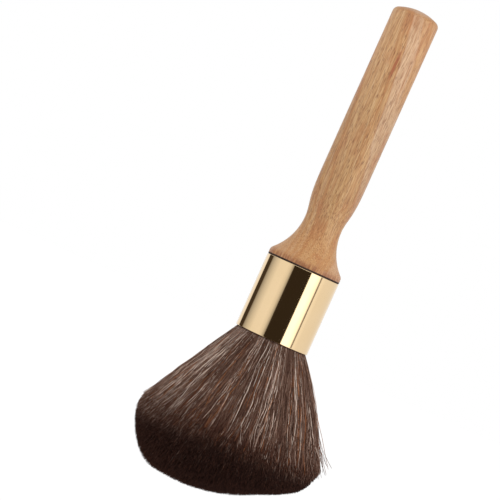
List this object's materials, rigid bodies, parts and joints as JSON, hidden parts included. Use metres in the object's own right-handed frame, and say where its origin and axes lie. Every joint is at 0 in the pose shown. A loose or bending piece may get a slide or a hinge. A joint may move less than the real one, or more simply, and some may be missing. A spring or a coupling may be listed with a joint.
{
  "type": "neck duster brush",
  "caption": "Barber's neck duster: turned wooden handle, polished metal ferrule and a flared head of soft fibre tufts that splay when pressed.",
  "frame": {"origin": "on the brush's axis, level with the lowest fibre tips", "axes": "+Z along the brush's axis from the fibre tips to the end of the handle; +X through the middle of tuft_01"},
  "size_m": [0.0806, 0.0806, 0.21],
  "materials": {
    "beech": "satin",
    "gold_plate": "polished",
    "adhesive": "satin",
    "resin": "gloss",
    "thread": "matte",
    "fibre": "matte"
  },
  "bodies": {
    "brush_body": {"handle": "beech", "ferrule": "gold_plate", "spigot_glue": "adhesive", "knot_resin": "resin", "binding_thread": "thread", "fibre_roots": "fibre"},
    "tuft_01": {"tuft_01": "fibre"},
    "tuft_02": {"tuft_02": "fibre"},
    "tuft_03": {"tuft_03": "fibre"},
    "tuft_04": {"tuft_04": "fibre"},
    "tuft_05": {"tuft_05": "fibre"},
    "tuft_06": {"tuft_06": "fibre"},
    "tuft_07": {"tuft_07": "fibre"},
    "tuft_08": {"tuft_08": "fibre"},
    "tuft_09": {"tuft_09": "fibre"},
    "tuft_10": {"tuft_10": "fibre"},
    "tuft_11": {"tuft_11": "fibre"},
    "tuft_12": {"tuft_12": "fibre"},
    "tuft_13": {"tuft_13": "fibre"},
    "tuft_14": {"tuft_14": "fibre"},
    "tuft_15": {"tuft_15": "fibre"},
    "tuft_16": {"tuft_16": "fibre"}
  },
  "joints": [
    {"name": "tuft_01_splay", "type": "hinge", "parent": "brush_body", "child": "tuft_01", "pos_m": [0.015, 0, 0.0655], "axis": [0, -1, 0], "range_deg": [0, 50], "stiffness_Nm_per_rad": 0.02},
    {"name": "tuft_02_splay", "type": "hinge", "parent": "brush_body", "child": "tuft_02", "pos_m": [0.01386, 0.00574, 0.0655], "axis": [0.3827, -0.9239, 0], "range_deg": [0, 50], "stiffness_Nm_per_rad": 0.02},
    {"name": "tuft_03_splay", "type": "hinge", "parent": "brush_body", "child": "tuft_03", "pos_m": [0.01061, 0.01061, 0.0655], "axis": [0.7071, -0.7071, 0], "range_deg": [0, 50], "stiffness_Nm_per_rad": 0.02},
    {"name": "tuft_04_splay", "type": "hinge", "parent": "brush_body", "child": "tuft_04", "pos_m": [0.00574, 0.01386, 0.0655], "axis": [0.9239, -0.3827, 0], "range_deg": [0, 50], "stiffness_Nm_per_rad": 0.02},
    {"name": "tuft_05_splay", "type": "hinge", "parent": "brush_body", "child": "tuft_05", "pos_m": [0, 0.015, 0.0655], "axis": [1, 0, 0], "range_deg": [0, 50], "stiffness_Nm_per_rad": 0.02},
    {"name": "tuft_06_splay", "type": "hinge", "parent": "brush_body", "child": "tuft_06", "pos_m": [-0.00574, 0.01386, 0.0655], "axis": [0.9239, 0.3827, 0], "range_deg": [0, 50], "stiffness_Nm_per_rad": 0.02},
    {"name": "tuft_07_splay", "type": "hinge", "parent": "brush_body", "child": "tuft_07", "pos_m": [-0.01061, 0.01061, 0.0655], "axis": [0.7071, 0.7071, 0], "range_deg": [0, 50], "stiffness_Nm_per_rad": 0.02},
    {"name": "tuft_08_splay", "type": "hinge", "parent": "brush_body", "child": "tuft_08", "pos_m": [-0.01386, 0.00574, 0.0655], "axis": [0.3827, 0.9239, 0], "range_deg": [0, 50], "stiffness_Nm_per_rad": 0.02},
    {"name": "tuft_09_splay", "type": "hinge", "parent": "brush_body", "child": "tuft_09", "pos_m": [-0.015, 0, 0.0655], "axis": [0, 1, 0], "range_deg": [0, 50], "stiffness_Nm_per_rad": 0.02},
    {"name": "tuft_10_splay", "type": "hinge", "parent": "brush_body", "child": "tuft_10", "pos_m": [-0.01386, -0.00574, 0.0655], "axis": [-0.3827, 0.9239, 0], "range_deg": [0, 50], "stiffness_Nm_per_rad": 0.02},
    {"name": "tuft_11_splay", "type": "hinge", "parent": "brush_body", "child": "tuft_11", "pos_m": [-0.01061, -0.01061, 0.0655], "axis": [-0.7071, 0.7071, 0], "range_deg": [0, 50], "stiffness_Nm_per_rad": 0.02},
    {"name": "tuft_12_splay", "type": "hinge", "parent": "brush_body", "child": "tuft_12", "pos_m": [-0.00574, -0.01386, 0.0655], "axis": [-0.9239, 0.3827, 0], "range_deg": [0, 50], "stiffness_Nm_per_rad": 0.02},
    {"name": "tuft_13_splay", "type": "hinge", "parent": "brush_body", "child": "tuft_13", "pos_m": [0, -0.015, 0.0655], "axis": [-1, 0, 0], "range_deg": [0, 50], "stiffness_Nm_per_rad": 0.02},
    {"name": "tuft_14_splay", "type": "hinge", "parent": "brush_body", "child": "tuft_14", "pos_m": [0.00574, -0.01386, 0.0655], "axis": [-0.9239, -0.3827, 0], "range_deg": [0, 50], "stiffness_Nm_per_rad": 0.02},
    {"name": "tuft_15_splay", "type": "hinge", "parent": "brush_body", "child": "tuft_15", "pos_m": [0.01061, -0.01061, 0.0655], "axis": [-0.7071, -0.7071, 0], "range_deg": [0, 50], "stiffness_Nm_per_rad": 0.02},
    {"name": "tuft_16_splay", "type": "hinge", "parent": "brush_body", "child": "tuft_16", "pos_m": [0.01386, -0.00574, 0.0655], "axis": [-0.3827, -0.9239, 0], "range_deg": [0, 50], "stiffness_Nm_per_rad": 0.02}
  ],
  "couplings": [
    {"joint": "tuft_02_splay", "follows": "tuft_01_splay", "ratio": 1},
    {"joint": "tuft_03_splay", "follows": "tuft_01_splay", "ratio": 1},
    {"joint": "tuft_04_splay", "follows": "tuft_01_splay", "ratio": 1},
    {"joint": "tuft_05_splay", "follows": "tuft_01_splay", "ratio": 1},
    {"joint": "tuft_06_splay", "follows": "tuft_01_splay", "ratio": 1},
    {"joint": "tuft_07_splay", "follows": "tuft_01_splay", "ratio": 1},
    {"joint": "tuft_08_splay", "follows": "tuft_01_splay", "ratio": 1},
    {"joint": "tuft_09_splay", "follows": "tuft_01_splay", "ratio": 1},
    {"joint": "tuft_10_splay", "follows": "tuft_01_splay", "ratio": 1},
    {"joint": "tuft_11_splay", "follows": "tuft_01_splay", "ratio": 1},
    {"joint": "tuft_12_splay", "follows": "tuft_01_splay", "ratio": 1},
    {"joint": "tuft_13_splay", "follows": "tuft_01_splay", "ratio": 1},
    {"joint": "tuft_14_splay", "follows": "tuft_01_splay", "ratio": 1},
    {"joint": "tuft_15_splay", "follows": "tuft_01_splay", "ratio": 1},
    {"joint": "tuft_16_splay", "follows": "tuft_01_splay", "ratio": 1}
  ]
}
